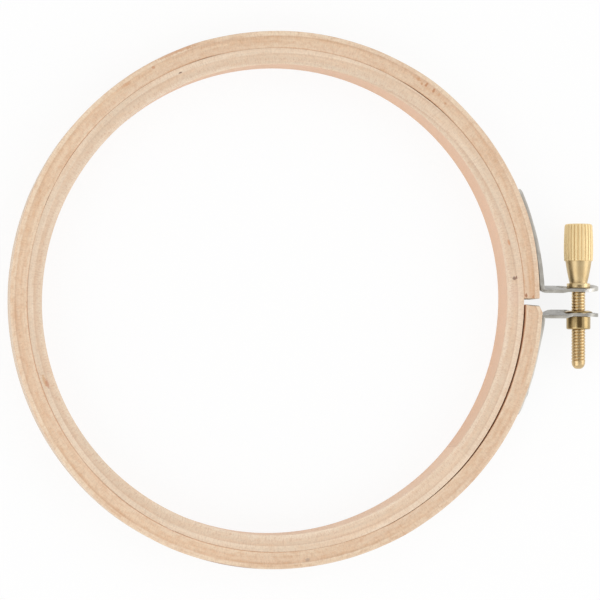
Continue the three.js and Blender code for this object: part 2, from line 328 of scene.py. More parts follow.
beechLook = {
    "bumpStrength": 0.6,
    "bumpDepth": 0.00004,
    # each noise of the wood: its scales along, through and up the strip, and its detail
    "noises": {
        "wander": ((0.022, 0.0, 0.05), 1.0),
        "streak": ((0.045, 4.5, 2.2), 3.0),
        "striae": ((4.0, 1.5, 3.4), 2.0),
        "rays": ((3.6, 1.1, 4.2), 1.0),
        "mottle": ((0.7, 1.5, 0.6), 3.0),
        "blush": ((0.1, 0.8, 0.1), 3.0),
        "wash": ((0.05, 0.5, 0.1), 1.0),
        "fibre": ((3.4, 6.0, 6.0), 2.0),
        "broken": ((0.035, 0.2, 0.2), 2.0),
        "pores": ((0.5, 9.0, 9.0), 1.0),
    },
    # from one growth line to the next: how pale the wood is and how strong the line
    "pale": ((0.0, 0.25), (0.10, 0.28), (0.30, 0.45), (0.62, 0.65), (0.90, 0.92), (1.0, 0.72)),
    "line": ((0.0, 1.0), (0.05, 0.6), (0.13, 0.2), (0.3, 0.0), (0.92, 0.0), (1.0, 0.9)),
    "drift": (20.0, 118.0),  # mm along the strip over which the lines drift
    "late": (225.0, 300.0),  # and over which its front may turn paler
    "rayStrength": 0.2,
    "sideShare": 0.85,  # how much the sides' even tones, partly painted shade, cover
    "gapEdgeShade": tint(204, 142, 96),
    "endPaintedLight": tint(236, 230, 216),
    "endPaintedLightShare": 0.8,
    "waxRoughness": 0.5,
}

# Bent beech: growth lines that run along the strip, fine rays across it and faint
# streaks. It reads where a point lies along, through and up the strip, in mm.
beechGrain, start = newGroup("beechGrain", ["Pale", "Body", "Line", "Blush", "Wash", "Front", "Back"], [
    "Line Depth", "Line Spacing", "Line Strength", "Drift", "Wander",
    "Front Pale", "Back Pale", "Pale From", "Pale Until", "Pale By", "Late Front",
    "Blush Strength", "Wash Strength", "Gap Edge Shade", "Fleck Strength", "Joint Strength", "Seed",
])
tree = beechGrain
strip = attribute(tree, "strip", "Vector")
along, depth, level = axesOf(strip)
endGrain = attribute(tree, "endGrain")
fromBack = attribute(tree, "fromBack")
field = {}
for name, (scales, detail) in beechLook["noises"].items():
    field[name] = stretchedNoise(strip, scales, detail, start["Seed"])

wander = times(minus(field["wander"], 0.5), start["Wander"])
drift = mapRange(along, *beechLook["drift"], 0.0, start["Drift"], smooth=True)
lineAt = maths("ADD", start["Line Depth"], maths("ADD", drift, wander))
ringShare = maths("DIVIDE", minus(fromBack, lineAt), start["Line Spacing"])
ringShare = maths("FRACT", ringShare)

unbroken = mapRange(field["broken"], 0.40, 0.62, 0.25, 1.9)
lineMask = times(greyRamp(ringShare, beechLook["line"]), start["Line Strength"])
lineMask = times(lineMask, unbroken)
rayMask = mapRange(field["rays"], 0.5, 0.72, 0.0, beechLook["rayStrength"])
blushMask = mapRange(field["mottle"], 0.45, 0.75, 0.0, start["Blush Strength"])
blushBand = mapRange(field["blush"], 0.46, 0.72, 0.0, start["Blush Strength"])
washMask = mapRange(field["wash"], 0.42, 0.62, 0.0, start["Wash Strength"])

fromPale = minus(along, start["Pale From"])
untilPale = minus(start["Pale Until"], along)
paler = mapRange(fromPale, -12.0, 12.0, 0.0, start["Pale By"], smooth=True)
paler = times(paler, mapRange(untilPale, -8.0, 8.0, smooth=True))
rimPale = mapRange(depth, 0.35, 1.2, start["Front Pale"], 0.0, smooth=True)
backPale = maths("MULTIPLY_ADD", paler, 9.0, start["Back Pale"])
backPale = mapRange(fromBack, 0.5, 1.3, backPale, 0.0, smooth=True)
sidePale = maths("ADD", rimPale, backPale)
paleShare = maths("ADD", greyRamp(ringShare, beechLook["pale"]), sidePale, clamp=True)

fromRow = maths("ABSOLUTE", minus(depth, 0.9))
flecks = mapRange(fromRow, 0.3, 0.8, start["Fleck Strength"], 0.0, smooth=True)
flecks = times(flecks, mapRange(field["striae"], 0.5, 0.68))
color = mixColors(paleShare, start["Body"], start["Pale"])
for mask, name in (
    (washMask, "Wash"), (blushBand, "Blush"), (blushMask, "Blush"),
    (lineMask, "Line"), (rayMask, "Line"), (flecks, "Line"),
):
    color = mixColors(mask, color, start[name])

# The strip's two sides have even tones, partly the wood's own and partly painted shade on the walls and in the
# gap between the rings, and the glued joint is a fine line in the front
late = mapRange(along, *beechLook["late"], 0.0, start["Late Front"], smooth=True)
front = mixColors(late, start["Front"], start["Pale"])
halfWay = math.pi * hoop["innerMean"]
fromJoint = maths("WRAP", along, halfWay, -halfWay)
slant = minus(hoop["top"], level)
fromJoint = maths("ABSOLUTE", maths("MULTIPLY_ADD", slant, 0.05, fromJoint))
jointMask = mapRange(fromJoint, 0.07, 0.2, start["Joint Strength"], 0.0)
front = mixColors(jointMask, front, start["Line"])
deepMask = mapRange(level, 7.95, 7.6, 0.0, beechLook["sideShare"])
for inwards, sideToneAndShade in ((depth, front), (fromBack, start["Back"])):
    sideMask = mapRange(inwards, 0.1, 0.35, 1.0, 0.0, smooth=True)
    color = mixColors(times(sideMask, deepMask), color, sideToneAndShade)
# painted shade: a darker orange line along the outer ring's rim beside the gap between the rings
gapEdgeShadeMask = mapRange(depth, 0.06, 0.24, start["Gap Edge Shade"], 0.0)
color = mixColors(times(gapEdgeShadeMask, unbroken), color, beechLook["gapEdgeShade"])
# painted light: the end faces, which look into the narrow split, are painted pale as if lit
color = mixColors(times(endGrain, beechLook["endPaintedLightShare"]), color, beechLook["endPaintedLight"])

tone = paler
for name, *values in (
    ("streak", 0.25, 0.75, -0.04, 0.04),
    ("fibre", 0.25, 0.75, 0.935, 1.065),
    ("striae", 0.3, 0.7, -0.045, 0.045),
):
    tone = maths("ADD", tone, mapRange(field[name], *values))
endTone = mapRange(field["pores"], 0.35, 0.65, 0.95, 1.08)
tone = times(tone, mapRange(endGrain, 0.0, 1.0, 1.0, endTone))
color = vectorMaths("SCALE", {0: color, "Scale": tone})
rough = mapRange(field["streak"], 0.2, 0.8, 0.52, 0.70)
closeGroup(tree, color, Roughness=rough, Height=minus(field["fibre"], maths("ADD", lineMask, rayMask)))

# A small mark at one place of the strip's upper face: a stain, knot or nick, and in one place a painted shade
# line
markValues = ["Along", "Depth", "Length", "Width", "Strength", "Raggedness"]
woodMark, start = newGroup("woodMark", ["Base", "Mark"], markValues)
tree = woodMark
strip = attribute(tree, "strip", "Vector")
along, depth, level = axesOf(strip)
offset = fed("CombineXYZ", {
    0: maths("DIVIDE", minus(along, start["Along"]), start["Length"]),
    1: maths("DIVIDE", minus(depth, start["Depth"]), start["Width"]),
    2: minus(level, hoop["top"]),
})
distance = vectorMaths("LENGTH", {0: offset}, "Value")
ragged = fed("TexNoise", {"Vector": strip, "Scale": 3.0, "Detail": 2.0})
ragged = times(minus(ragged, 0.5), start["Raggedness"])
distance = maths("ADD", distance, ragged)
mask = mapRange(distance, 0.45, 1.0, start["Strength"], 0.0, smooth=True)
closeGroup(tree, mixColors(mask, start["Base"], start["Mark"]))


# Each mark is its colour and then what markValues names, with its angle for its place
def beechMaterial(name, grain, marks, alongAt, waxed=0.0):
    material, tree = newMaterial(name)
    wood = useGroup(tree, beechGrain, grain)
    color = wood["Color"]
    for shade, angle, *values in marks:
        mark = dict(zip(markValues, (alongAt(angle), *values)))
        color = useGroup(tree, woodMark, {"Base": color, "Mark": tint(*shade), **mark})["Color"]
    depth = axesOf(attribute(tree, "strip", "Vector"))[1]
    finishMaterial(tree, wood, beechLook["bumpStrength"], beechLook["bumpDepth"], {
        "Base Color": color,
        "IOR": 1.45,
        "Coat Weight": mapRange(depth, hoop["outerWall"] - 0.25, hoop["outerWall"] - 0.05, 0.0, waxed),
        "Coat Roughness": beechLook["waxRoughness"],
    })
    return material


rings = {
    "sections": 540,
    "edgeFaces": 3,  # faces round an eased edge
    "gap": 0.008,
    # where the two rings lie a little apart: the middle, half the reach and how far
    "hairlines": [
        (54, 11, 0.14), (30, 6, 0.01), (69, 7, 0.01), (107.5, 6, 0.06), (147, 9, 0.02),
        (157.3, 3, 0.05), (176.2, 3.5, 0.015), (233, 7, 0.03), (246.5, 5, 0.03), (299, 7, 0.05),
    ],
    "openFrom": 291.0,
    "openUntil": 338.0,
    "openBy": 0.37,
    "endThinning": 0.3,
    "thinUntil": 20.0,
    # the rings are a little out of round: each lobe is its count, size in mm and angle
    "backLobes": [(1, 0.24, -2.0), (2, 0.2, 55.0), (4, 0.07, 55.0)],
    "faceLobes": [(2, 0.34, 45.0), (3, 0.08, 68.0)],
    "faceShift": 0.06,
    "outerShift": 0.05,
    "thickerBy": 0.24,  # the outer ring's wall, on the side of the clamp
    "thickestAt": 22.0,
    "waver": 0.03,
    "waverTurns": 4.0,
}


def outOfRound(angle, lobes):
    return sum(size * math.cos(count * math.radians(angle - peak)) for count, size, peak in lobes)


def waver(angle, seed):
    turned, turns = math.radians(angle), rings["waverTurns"]
    return rings["waver"] * noise.noise(Vector((turns * math.cos(turned), turns * math.sin(turned), seed)))


def gapAt(angle):
    opening = smoothShare((angle - rings["openFrom"]) / (rings["openUntil"] - rings["openFrom"]))
    gap = rings["gap"] + rings["openBy"] * opening
    for middle, half, extra in rings["hairlines"]:
        gap += extra * smoothShare(1 - abs(angle - middle) / half)
    return gap


def innerBackAt(angle):
    return hoop["innerBack"] + outOfRound(angle, rings["backLobes"])


def innerFaceAt(angle):
    face = hoop["innerFace"] + rings["faceShift"]
    return face + outOfRound(angle, rings["faceLobes"]) + waver(angle, 3.0)


def outerFaceAt(angle):
    return innerBackAt(angle) + gapAt(angle)


def outerBackAt(angle):
    thinning = rings["endThinning"] * smoothShare(1 - angle / rings["thinUntil"])
    thicker = rings["thickerBy"] * max(math.cos(math.radians(angle - rings["thickestAt"])), 0.0) ** 3
    wall = hoop["outerWall"] + rings["outerShift"] + thicker - thinning
    return outerFaceAt(angle) + wall + waver(angle, 8.0)


# The outline of a strip cut across, its four edges eased by the given radii
def easedSection(inner, outer, bottom, top, eased):
    centres = [
        (inner + eased[0], bottom + eased[0], 180),
        (outer - eased[1], bottom + eased[1], 270),
        (outer - eased[2], top - eased[2], 0),
        (inner + eased[3], top - eased[3], 90),
    ]
    outline = []
    for (across, height, first), radius in zip(centres, eased):
        for i in range(rings["edgeFaces"] + 1):
            angle = math.radians(first + 90 * i / rings["edgeFaces"])
            outline.append((across + radius * math.cos(angle), height + radius * math.sin(angle)))
    return outline


# A section square to its ring: each point, its place in the strip and how far it is
# from the strip's back
def ringSection(angle, along, face, back, eased):
    turned = math.radians(angle)
    section = []
    for radius, height in easedSection(face, back, 0.0, hoop["top"], eased):
        point = place(radius * math.cos(turned), radius * math.sin(turned), height)
        section.append((point, (along, radius - face, height), back - radius))
    return section


# A strip of wood from its sections. A closed ring ends with its first section again.
def stripMesh(name, sections, closed):
    count = len(sections[0])
    loops = len(sections) - 1 if closed else len(sections)
    points = [spot[0] for section in sections[:loops] for spot in section]
    faces, used, ends = [], [], []
    for i in range(len(sections) - 1):
        for j in range(count):
            corners = [(i, j), (i + 1, j), (i + 1, (j + 1) % count), (i, (j + 1) % count)]
            faces.append([(row % loops) * count + column for row, column in corners])
            used += [sections[row][column] for row, column in corners]
            ends += [0.0] * 4
    if not closed:
        for row, columns in ((0, range(count)), (loops - 1, range(count - 1, -1, -1))):
            faces.append([row * count + column for column in columns])
            used += [sections[row][column] for column in columns]
            ends += [1.0] * count
    mesh = bpy.data.meshes.new(name)
    mesh.from_pydata(points, [], faces)
    inStrip = [value for spot in used for value in spot[1]]
    mesh.attributes.new("strip", "FLOAT_VECTOR", "CORNER").data.foreach_set("vector", inStrip)
    for label, values in (("fromBack", [spot[2] for spot in used]), ("endGrain", ends)):
        mesh.attributes.new(label, "FLOAT", "CORNER").data.foreach_set("value", values)
    return mesh


def finishPiece(name, mesh, material, sharpAngle=40.0):
    mesh.materials.append(material)
    mesh.validate()
    mesh.shade_smooth()
    mesh.set_sharp_from_angle(angle=math.radians(sharpAngle))
    piece = addObject(name, mesh)
    return piece


def keepFlats(piece):
    piece.modifiers.new("flatFaces", "WEIGHTED_NORMAL").keep_sharp = True
    return piece


innerRingLook = {
    "eased": (0.25, 0.2, 0.08, 0.22),
    "joint": 321.2,  # the angle where the strip's ends are lapped and glued
}


def innerAlong(angle):
    return math.radians((angle - innerRingLook["joint"]) % 360.0) * hoop["innerMean"]


innerSections = []
for i in range(rings["sections"] + 1):
    travelled = 360.0 * i / rings["sections"]
    angle = innerRingLook["joint"] + travelled
    along = math.radians(travelled) * hoop["innerMean"]
    section = ringSection(angle, along, innerFaceAt(angle), innerBackAt(angle), innerRingLook["eased"])
    innerSections.append(section)

innerBeech = beechMaterial("innerBeech", {
    "Pale": tint(241, 220, 196),
    "Body": tint(228, 199, 171),
    "Line": tint(192, 150, 122),
    "Blush": tint(224, 184, 148),
    "Wash": tint(224, 202, 177),
    "Front": tint(228, 190, 161),
    "Back": tint(228, 194, 164),
    "Line Depth": 1.2,
    "Line Spacing": 2.4,
    "Line Strength": 0.18,
    "Drift": 2.4,
    "Wander": 0.25,
    "Front Pale": 0.4,
    "Pale From": innerAlong(285.0),
    "Pale Until": 1000.0,  # to the end of the strip
    "Pale By": 0.03,
    "Late Front": 0.28,
    "Blush Strength": 0.3,
    "Wash Strength": 0.5,
    "Fleck Strength": 0.42,
    "Joint Strength": 0.45,
    "Seed": 3.7,
}, [
    ((226, 188, 170), 1.2, 1.6, 3.4, 1.4, 0.22, 0.6),
    ((86, 40, 34), 5.55, 1.62, 0.46, 0.5, 0.7, 1.0),
    ((110, 52, 46), 5.7, 2.14, 0.5, 0.13, 0.9, 0.3),
    ((120, 84, 66), 114.0, 2.42, 0.5, 0.18, 0.9, 0.5),
    ((206, 156, 108), 199.5, 2.05, 1.6, 0.42, 0.6, 0.9),
    ((192, 120, 86), 200.3, 1.75, 1.1, 0.42, 0.55, 0.9),
    ((214, 150, 108), 14.2, 1.65, 0.8, 0.35, 0.7, 0.8),
], innerAlong)
innerMesh = stripMesh("innerRing", innerSections, True)
innerRing = finishPiece("innerRing", innerMesh, innerBeech)
keepFlats(innerRing)
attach(innerRing, "inner")
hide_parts("inner_ring")
print("inner ring made")

outerRingLook = {
    "eased": (0.18, 0.3, 0.25, 0.08),
    "endEase": 0.12,
    "upperTrim": 0.06,  # the ends stand back from the middle of the split by this more
    "lowerTrim": 0.16,
    "lowerSlant": 0.28,  # how far the lower end leans from square
    "slantOver": 2.0,
    "cornerAlong": 1.4,
    "cornerIn": 0.7,
    "flatUntil": 2.6,  # degrees; nearer the split the sections lie parallel to it
    "waxed": 0.3,
}


def outerAlong(angle):
    return math.radians(angle) * hoop["outerMean"]


# A section parallel to the split, back mm behind the end face: side 1 is the upper end
def endSection(side, back, inset):
    look = outerRingLook
    endLevel = hoop["splitHalf"] + back + look["upperTrim" if side > 0 else "lowerTrim"]
    angle = math.degrees(math.asin(endLevel / hoop["outerMean"]))
    angle = angle if side > 0 else 360.0 - angle
    inner, outer = outerFaceAt(angle) + inset, outerBackAt(angle) - inset
    if side < 0:
        outer -= look["cornerIn"] * clampShare(1 - back / look["cornerAlong"])
    section = []
    for radius, height in easedSection(inner, outer, inset, hoop["top"] - inset, look["eased"]):
        slant = look["lowerSlant"] * ((radius - inner) / hoop["outerWall"] - 0.5) if side < 0 else 0.0
        y = endLevel + slant * smoothShare(1 - back / look["slantOver"])
        point = place(math.sqrt(radius * radius - y * y), side * y, height)
        section.append((point, (outerAlong(angle), radius - inner, height), outer - radius))
    return section


endEase, flatUntil = outerRingLook["endEase"], outerRingLook["flatUntil"]
backs = [(0.0, endEase), (endEase * 0.3, endEase * 0.3)]
backs += [(back, 0.0) for back in (endEase, 0.45, 0.9, 1.4)]
outerSections = [endSection(1, back, inset) for back, inset in backs]
for i in range(rings["sections"] + 1):
    angle = mixed(flatUntil, 360.0 - flatUntil, i / rings["sections"])
    face, back = outerFaceAt(angle), outerBackAt(angle)
    outerSections.append(ringSection(angle, outerAlong(angle), face, back, outerRingLook["eased"]))
outerSections += [endSection(-1, back, inset) for back, inset in reversed(backs)]

outerBeech = beechMaterial("outerBeech", {
    "Pale": tint(239, 216, 189),
    "Body": tint(226, 193, 161),
    "Line": tint(182, 134, 98),
    "Blush": tint(208, 154, 108),
    "Wash": tint(228, 198, 172),
    "Front": tint(236, 194, 158),
    "Back": tint(215, 193, 169),
    "Line Depth": 1.0,
    "Line Spacing": 2.6,
    "Line Strength": 0.2,
    "Wander": 0.5,
    "Back Pale": 0.3,
    "Pale From": outerAlong(130.0),
    "Pale Until": outerAlong(262.0),
    "Pale By": 0.045,
    "Blush Strength": 0.36,
    "Wash Strength": 0.3,
    "Gap Edge Shade": 0.3,
    "Fleck Strength": 0.2,
    "Seed": 11.3,
}, [
    ((160, 98, 60), 1.35, 0.45, 0.55, 0.35, 0.8, 0.9),
    ((180, 118, 78), 1.05, 1.95, 0.45, 0.3, 0.7, 0.9),
    ((212, 156, 104), 5.5, 1.8, 6.5, 0.8, 0.22, 0.9),
    # a grey line across the lower end's top, beside the split
    ((134, 130, 118), 359.2, 1.6, 0.24, 2.1, 0.9, 0.2),
    ((196, 136, 96), 49.6, 1.6, 0.34, 0.36, 0.6, 1.3),
    ((204, 146, 104), 51.9, 2.1, 0.3, 0.5, 0.5, 1.3),
    ((190, 126, 84), 53.4, 2.05, 0.36, 0.6, 0.75, 1.3),
    ((190, 126, 84), 55.4, 2.1, 0.34, 0.55, 0.75, 1.3),
    ((198, 138, 96), 56.4, 1.75, 0.4, 0.3, 0.6, 1.3),
    ((200, 142, 98), 57.5, 2.1, 0.6, 0.4, 0.5, 1.3),
    ((196, 132, 88), 112.8, 3.2, 5.4, 0.45, 0.5, 1.7),
    ((196, 134, 96), 119.0, 2.3, 0.5, 0.4, 0.6, 0.9),
    ((206, 150, 108), 126.0, 2.3, 1.4, 0.5, 0.45, 1.2),
    # a painted shade line along the outer edge at the lower left
    ((140, 112, 116), 259.5, 3.42, 7.4, 0.16, 0.55, 0.4),
    ((150, 132, 122), 276.7, 2.0, 0.6, 0.5, 0.45, 0.8),
], outerAlong, outerRingLook["waxed"])
outerMesh = stripMesh("outerRing", outerSections, False)
outerRing = finishPiece("outerRing", outerMesh, outerBeech)
keepFlats(outerRing)
splitHalf = hoop["splitHalf"] * mm
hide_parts("outer_ring")
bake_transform(outerRing, "outer", "lower_end", start=(0.0, splitHalf, 0.0), end=(0.0, -splitHalf, 0.0))
print("outer ring made")


metalLook = {
    "bumpDepth": 0.00001,
    "dull": tint(178, 174, 166),
    "worn": tint(232, 229, 222),
    # the colour of a painted highlight on the rim of the upper lug's tip
    "paintedHighlight": tint(244, 240, 234),
    "paleFinishAndLight": tint(252, 230, 182),
    "hollow": tint(164, 126, 80),
    "hollowStrength": 0.4,
}


def pointInMm(tree):
    point = newNode(tree, "TexCoord").outputs["Object"]
    return vectorMaths("SCALE", {0: point, "Scale": 1 / mm})


# Rolled and plated sheet: fine lines one way, cloudy patches and small pits. The broad sides of the sheet are
# painted darker than its cut edges, as painted shade in what they reflect; paintedLight paints sheen on the
# straps and the upper tip and shade on the lower tip, and paintedHighlight paints a highlight on the upper
# tip's rim.
platedSheet, start = newGroup("platedSheet", ["Bright"], ["Smoothest", "Roughest"])
tree = platedSheet
point = pointInMm(tree)
lines = stretchedNoise(point, (0.35, 0.5, 9.0), 2.0)
clouds = stretchedNoise(point, (0.5, 0.5, 0.5), 3.0)
pitMask = mapRange(stretchedNoise(point, (6.0, 6.0, 6.0)), 0.62, 0.75)
worn, paintedLight, paintedHighlight = [attribute(tree, name) for name in ("worn", "paintedLight", "paintedHighlight")]
upwards = axesOf(newNode(tree, "TexCoord").outputs["Normal"])[2]
cutEdge = mapRange(maths("ABSOLUTE", upwards), 0.25, 0.6)
color = start["Bright"]
for mask, name in (
    (mapRange(clouds, 0.35, 0.65), "dull"), (times(pitMask, 0.5), "dull"),
    (worn, "worn"), (times(paintedHighlight, cutEdge), "paintedHighlight"),
):
    color = mixColors(mask, color, metalLook[name])
# painted shade: broad sides darker than cut edges, lifted by painted sheen on the straps and upper tip, darker
# on the lower tip
broadShade = maths("MULTIPLY_ADD", paintedLight, 0.42, 0.62)
edgeShade = maths("MULTIPLY_ADD", maths("MINIMUM", paintedLight, 0.0), 0.7, 1.0)
broad = mapRange(cutEdge, 0.0, 1.0, broadShade, edgeShade)
rough = mapRange(maths("ADD", lines, clouds), 0.6, 1.4, start["Smoothest"], start["Roughest"])
rough = maths("MULTIPLY_ADD", worn, 0.22, rough)
rough = maths("MULTIPLY_ADD", paintedHighlight, -0.1, rough)
color = vectorMaths("SCALE", {0: color, "Scale": broad})
closeGroup(tree, color, Roughness=rough, Height=minus(lines, pitMask))

# Turned brass: fine tool lines round the axis, faint tarnish, darker in the hollows, and a paler colour that
# is partly a paler finish and partly painted light on the shank between the lugs, where they shade it
turnedMetal, start = newGroup("turnedMetal", ["Bright", "Tarnish"], ["Smoothest", "Roughest"])
tree = turnedMetal
point = pointInMm(tree)
toolLines = stretchedNoise(point, (0.15, 11.0, 0.15), 2.0)
clouds = stretchedNoise(point, (0.45, 0.45, 0.45), 3.0)
hollow, paleFinishAndLight, matt = [attribute(tree, name) for name in ("hollow", "paleFinishAndLight", "matt")]
tarnish = mapRange(clouds, 0.38, 0.72, 0.0, 0.5)
tarnish = times(tarnish, maths("MULTIPLY_ADD", paleFinishAndLight, -0.85, 1.0))
# a paler brass, partly painted light where the lugs shade the shank
color = mixColors(paleFinishAndLight, start["Bright"], metalLook["paleFinishAndLight"])
color = mixColors(tarnish, color, start["Tarnish"])
color = mixColors(times(hollow, metalLook["hollowStrength"]), color, metalLook["hollow"])
rough = mapRange(maths("ADD", toolLines, hollow), 0.3, 1.2, start["Smoothest"], start["Roughest"])
closeGroup(tree, color, Roughness=maths("ADD", rough, matt), Height=toolLines)


def metalMaterial(name, group, bumpStrength, smoothest, roughest, colors):
    material, tree = newMaterial(name)
    finish = useGroup(tree, group, {"Smoothest": smoothest, "Roughest": roughest, **colors})
    inputs = {"Base Color": finish["Color"], "Metallic": 1.0}
    finishMaterial(tree, finish, bumpStrength, metalLook["bumpDepth"], inputs)
    return material


# After each group: how strong its fine lines are, its smoothest and its roughest place
nickelSheet = metalMaterial("nickelSheet", platedSheet, 0.35, 0.26, 0.42, {"Bright": tint(200, 197, 189)})
nickelTack = metalMaterial("nickelTack", platedSheet, 0.2, 0.18, 0.34, {"Bright": tint(204, 201, 194)})
turnedBrass = metalMaterial("turnedBrass", turnedMetal, 0.25, 0.36, 0.48, {
    "Bright": tint(207, 183, 139), "Tarnish": tint(190, 160, 112),
})
nutBrass = metalMaterial("nutBrass", turnedMetal, 0.25, 0.12, 0.24, {
    "Bright": tint(188, 164, 118), "Tarnish": tint(142, 116, 74),
})


# An empty mesh to build on, and its values for each vertex that the finishes read
def newBuild(*labels):
    built = bmesh.new()
    for label in labels:
        built.verts.layers.float.new(label)
    return built, [built.verts.layers.float[label] for label in labels]


def finishBuilt(name, built, material):
    bmesh.ops.recalc_face_normals(built, faces=built.faces)
    mesh = bpy.data.meshes.new(name)
    built.to_mesh(mesh)
    built.free()
    return finishPiece(name, mesh, material, 35.0)


# How far a rounded corner has fallen away, so far into it
def cornerDrop(radius, into):
    return radius - math.sqrt(max(radius ** 2 - max(into, 0.0) ** 2, 0.0))


# Where a value has two entries, 1 is the upper bracket's and -1 the lower one's
bracketLook = {
    "width": 7.0,
    "strapLength": 20.3,
    "strapCorner": 1.2,
    "bendRadius": 0.3,
    "lugEnd": 67.55,
    "lugCorner": 3.3,
    "standOff": 0.04,  # between the strap and the wood
    "springOff": {1: 0.32, -1: 0.03},  # how far the strap's upper edge tips off the wood at its bend
    "springOver": 13.0,
    "sink": {1: 0.0, -1: 0.42},  # how much lower the strap sits on the wood
    "sinkOver": 8.0,
    "narrow": {1: 0.0, -1: 1.1},  # what its upper edge is worn down
    "narrowOver": 7.0,
    "burr": {1: 0.38, -1: 0.0},  # how much thicker its upper edge is near the bend, as a share
    "wear": {1: 0.3, -1: 1.0},
    "wearOver": 9.0,
    "sheen": 0.5,  # painted sheen: how much brighter the strap's broad sides are than the lug's
    "sheenOver": 4.0,
    "edgeRounding": 0.29,
    "strapColumns": 30,
    "bendColumns": 7,
    "cornerColumns": 8,
    "across": 8,
    "holeRadius": {1: 1.7225, -1: 2.1},
    "nearLean": {1: 8.9, -1: 11.0},  # degrees that the lug leans near the wood
    "seatLean": 1.2,
    "leanAbout": {1: 1.28, -1: 0.8},  # height above the middle of the line the lean turns about
    "leanUntil": {1: 60.9, -1: 61.4},
    "leanOver": 1.6,
    "rimLater": 2.3,  # the lug's lower rim keeps its lean further on by this
    "tipLean": {1: 9.5, -1: 3.8},  # how much more it leans outside the screw's collar
    "tipFrom": {1: 63.8, -1: 64.6},
    "tipOver": {1: 0.8, -1: 2.9},
    "tipAbout": {1: 3.4, -1: 0.37},
    # painted light: a brighter upper lug tip, painted shade on the lower lug tip
    "tipPaintedLight": {1: 1.0, -1: -0.35},
    "rootDip": {1: 0.0, -1: 0.9},  # how far the lug's lower rim is pressed down at the bend
    "dipOver": 2.6,
    "paintedHighlightFrom": 63.8,  # the stretch of the upper tip whose rim gets a painted highlight
    "paintedHighlightUntil": 65.5,
    "collarReach": 2.45,  # from the screw's axis; the tip lies outside it
}


def strapRadius(side, angle):
    shown = angle if side > 0 else 360.0 - angle
    return outerBackAt(shown) + bracketLook["standOff"] + hoop["sheet"] / 2


# Where the strap bends out. It depends on the radius there and is settled in a few rounds.
def bendAngleOf(side):
    bend = bracketLook["bendRadius"] + hoop["sheet"] / 2
    angle = 3.0
    for i in range(6):
        angle = math.degrees(math.asin((hoop["lugLevel"] + bend) / (strapRadius(side, angle) + bend)))
    return angle


# How many degrees of the ring a length of the strap covers
def strapAngle(length):
    return math.degrees(length / (hoop["innerBack"] + hoop["outerWall"]))


# How far the leaning of the lug moves a point of it along Y, in mm
def leaned(look, x, across):
    until = look["leanUntil"] + look["rimLater"] * smoothShare((-across - 2.6) / 0.9)
    share = smoothShare(1 - (until - x) / look["leanOver"])
    lean = mixed(look["nearLean"], look["seatLean"], share)
    about, seat = look["leanAbout"], math.tan(math.radians(look["seatLean"]))
    moved = (about - across) * math.tan(math.radians(lean)) - about * seat
    clear = smoothShare((math.hypot(x - hoop["screwX"], across) - look["collarReach"]) / 0.9)
    tip = math.tan(math.radians(look["tipLean"])) * smoothShare((x - look["tipFrom"]) / look["tipOver"])
    return moved + (look["tipAbout"] - across) * tip * clear


# The sheet's middle line as places along it and points, and where its bend starts and ends
def bracketLine(side):
    bend = bracketLook["bendRadius"] + hoop["sheet"] / 2
    start = bendAngleOf(side)
    sweep = strapAngle(bracketLook["strapLength"])
    angles = [start + sweep * (1 - i / 160) for i in range(161)]
    spots = [heading(angle) * strapRadius(side, angle) for angle in angles]
    bendStart = len(spots) - 1
    centre = spots[-1] + heading(start) * bend
    spots += [centre - heading(mixed(start, 90.0, i / 24)) * bend for i in range(1, 25)]
    bendEnd = len(spots) - 1
    spots.append(Vector((bracketLook["lugEnd"], spots[-1].y)))
    travelled = [0.0]
    for first, second in zip(spots, spots[1:]):
        travelled.append(travelled[-1] + (second - first).length)
    return list(zip(travelled, spots)), travelled[bendStart], travelled[bendEnd]


def spotAt(line, along):
    for (first, a), (second, b) in zip(line, line[1:]):
        if along <= second:
            return a.lerp(b, clampShare((along - first) / (second - first)))
    return line[-1][1]


